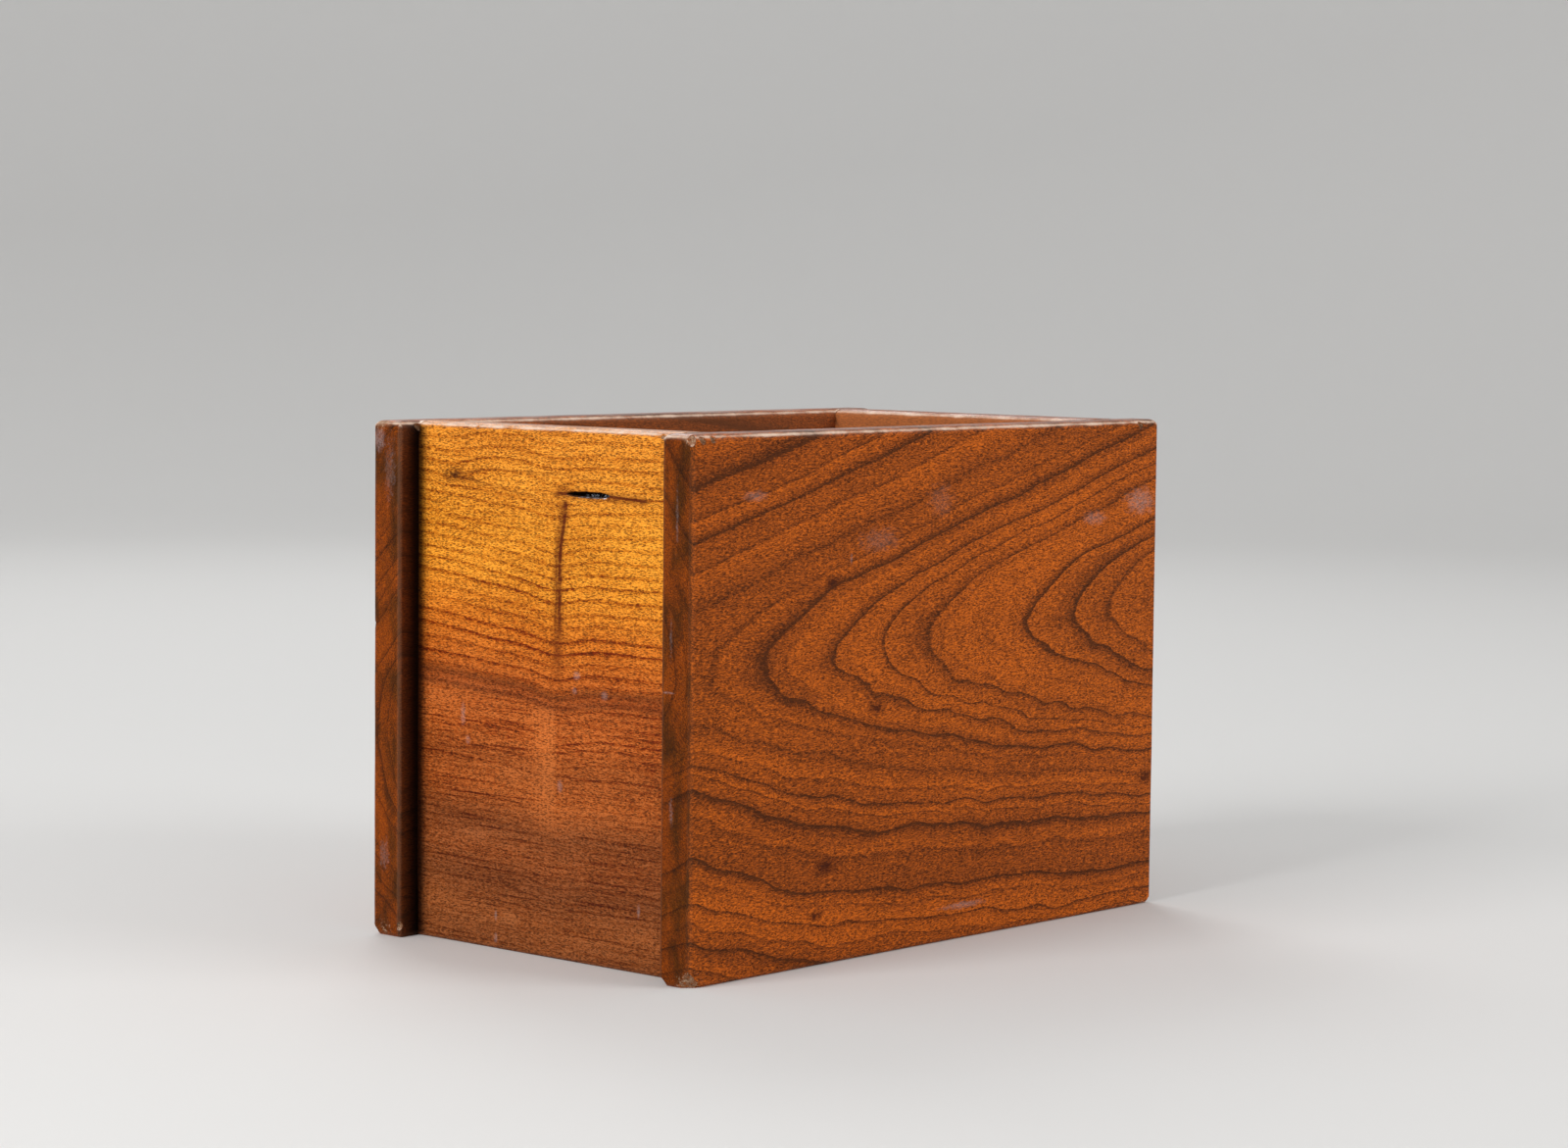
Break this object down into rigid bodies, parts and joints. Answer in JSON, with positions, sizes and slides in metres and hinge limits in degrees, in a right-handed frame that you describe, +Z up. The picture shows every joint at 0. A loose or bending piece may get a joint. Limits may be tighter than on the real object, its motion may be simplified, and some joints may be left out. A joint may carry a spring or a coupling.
{
  "type": "open wooden box",
  "caption": "Open-topped walnut box with long side boards that run past set-back end boards, housed together, and a bottom board in a groove; holds tools, files or props.",
  "frame": {"origin": "middle of the footprint, on the surface that the box stands on", "axes": "+X along the side boards towards the rear end board, +Y across the box towards the far side board, +Z up out of the open top"},
  "size_m": [0.264, 0.161, 0.19],
  "materials": {
    "side_walnut": "oiled walnut, satin, worn edges",
    "front_walnut": "oiled walnut, satin, sun-mellowed and golden",
    "rear_walnut": "oiled walnut, satin",
    "bottom_walnut": "walnut, dry and unpolished"
  },
  "bodies": {
    "root": {"near_side_board": "side_walnut", "far_side_board": "side_walnut", "front_end_board": "front_walnut", "rear_end_board": "rear_walnut", "bottom_board": "bottom_walnut"}
  },
  "joints": []
}
